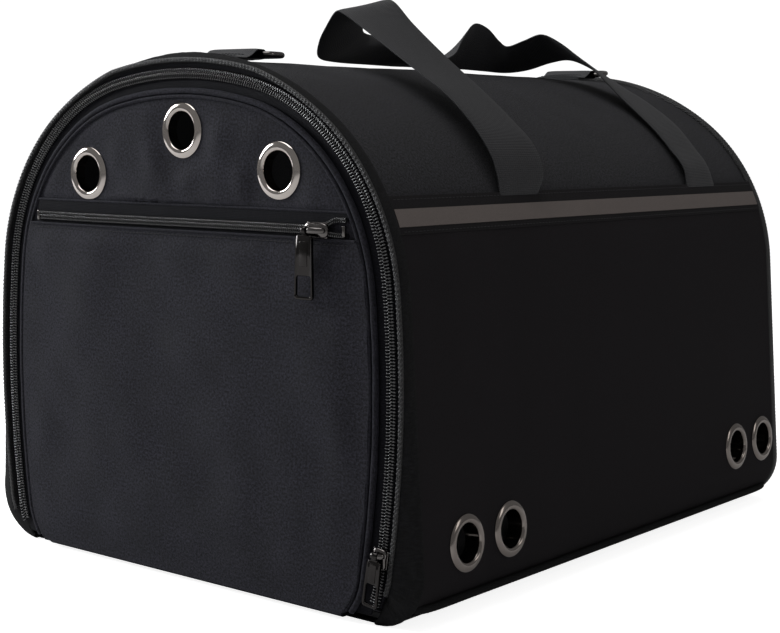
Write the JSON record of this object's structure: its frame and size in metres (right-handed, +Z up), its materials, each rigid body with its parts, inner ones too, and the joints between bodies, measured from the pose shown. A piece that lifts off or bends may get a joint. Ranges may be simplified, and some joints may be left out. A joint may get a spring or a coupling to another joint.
{
  "type": "soft pet carrier bag",
  "caption": "Arched soft-sided pet carrier with a zipped drop-down front door, vent eyelets, side pockets, webbing handles and ring tabs.",
  "frame": {"origin": "on the ground, under the middle of the base", "axes": "+Z up, +Y from the door towards the rear, +X to the carrier's right side"},
  "size_m": [0.3411, 0.4338, 0.335],
  "materials": {
    "cover_fabric": "woven polyester, matt",
    "side_fabric": "smooth coated polyester, satin",
    "door_fabric": "woven polyester, matt",
    "lining": "plain woven polyester",
    "foam": "closed-cell foam sheet",
    "mat": "quilted fleece over foam",
    "webbing": "ribbed polypropylene webbing",
    "binding": "ribbed grosgrain tape",
    "zip_tape": "knitted zip tape",
    "zip_teeth": "moulded nylon coil",
    "reflective": "warm grey retroreflective tape",
    "mesh": "open polyester net",
    "board": "plain sheet",
    "nickel": "polished nickel",
    "gunmetal": "black nickel, glossy"
  },
  "bodies": {
    "carrier": {"base_board": "board", "base_cover": "cover_fabric", "base_lining": "lining", "base_mat": "mat", "base_piping_left": "binding", "base_piping_right": "binding", "door_hinge_tape": "door_fabric", "frame_zip_tape": "zip_tape", "frame_zip_teeth": "zip_teeth", "front_binding": "binding", "handle_anchors_left": "webbing", "handle_anchors_right": "webbing", "rear_binding": "binding", "rear_foam": "foam", "rear_mesh": "mesh", "rear_panel": "cover_fabric", "rear_window_binding": "binding", "reflective_strip_left": "reflective", "reflective_strip_right": "reflective", "side_eyelets_left": "nickel", "side_eyelets_right": "nickel", "side_hem_left": "side_fabric", "side_hem_right": "side_fabric", "side_panel_left": "side_fabric", "side_panel_right": "side_fabric", "side_washers_left": "nickel", "side_washers_right": "nickel", "tab_front": "webbing", "tab_rear": "webbing", "tunnel_cover": "cover_fabric", "tunnel_foam": "foam", "tunnel_lining": "lining"},
    "door": {"door_backing": "door_fabric", "door_eyelets": "nickel", "door_foam": "foam", "door_lining": "lining", "door_piping": "door_fabric", "door_pocket_front": "door_fabric", "door_washers": "nickel", "door_zip_tape": "zip_tape", "door_zip_teeth": "zip_teeth", "pocket_zip_stops": "gunmetal", "pocket_zip_tape_lower": "zip_tape", "pocket_zip_tape_upper": "zip_tape", "pocket_zip_teeth_lower": "zip_teeth", "pocket_zip_teeth_upper": "zip_teeth"},
    "pocket_slider": {"pocket_slider": "gunmetal"},
    "pocket_pull": {"pocket_pull": "gunmetal"},
    "door_slider": {"door_slider": "gunmetal"},
    "door_pull": {"door_pull": "gunmetal"},
    "ring_front": {"ring_front": "gunmetal"},
    "ring_rear": {"ring_rear": "gunmetal"},
    "handle_right": {"handle_right": "webbing"},
    "handle_left": {"handle_left": "webbing"}
  },
  "joints": [
    {"name": "door_hinge", "type": "hinge", "parent": "carrier", "child": "door", "pos_m": [0, -0.21, 0.0032], "axis": [1, 0, 0], "range_deg": [0, 85]},
    {"name": "pocket_zip_slide", "type": "slide", "parent": "door", "child": "pocket_slider", "axis": [1, 0, 0], "range_m": [-0.215, 0.008]},
    {"name": "pocket_pull_swing", "type": "hinge", "parent": "pocket_slider", "child": "pocket_pull", "pos_m": [0.0991, -0.2203, 0.2065], "axis": [-1, 0, 0], "range_deg": [0, 150]},
    {"name": "door_zip_run", "type": "hinge", "parent": "door", "child": "door_slider", "pos_m": [-0.449, -0.2122, 0.115], "axis": [0, -1, 0], "range_deg": [0, 11.5]},
    {"name": "door_pull_swing", "type": "hinge", "parent": "door_slider", "child": "door_pull", "pos_m": [0.1464, -0.2173, 0.04078], "axis": [-0.9918, 0, 0.1277], "range_deg": [0, 150]},
    {"name": "front_ring_swing", "type": "hinge", "parent": "carrier", "child": "ring_front", "pos_m": [0, -0.1662, 0.30055], "axis": [1, 0, 0], "range_deg": [0, 140]},
    {"name": "rear_ring_swing", "type": "hinge", "parent": "carrier", "child": "ring_rear", "pos_m": [0, 0.1918, 0.30055], "axis": [1, 0, 0], "range_deg": [0, 133]},
    {"name": "right_handle_swing", "type": "hinge", "parent": "carrier", "child": "handle_right", "pos_m": [0.1417, 0, 0.2274], "axis": [0, 1, 0], "range_deg": [0, 165]},
    {"name": "left_handle_swing", "type": "hinge", "parent": "carrier", "child": "handle_left", "pos_m": [-0.1417, 0, 0.2274], "axis": [0, 1, 0], "range_deg": [0, 170]}
  ]
}
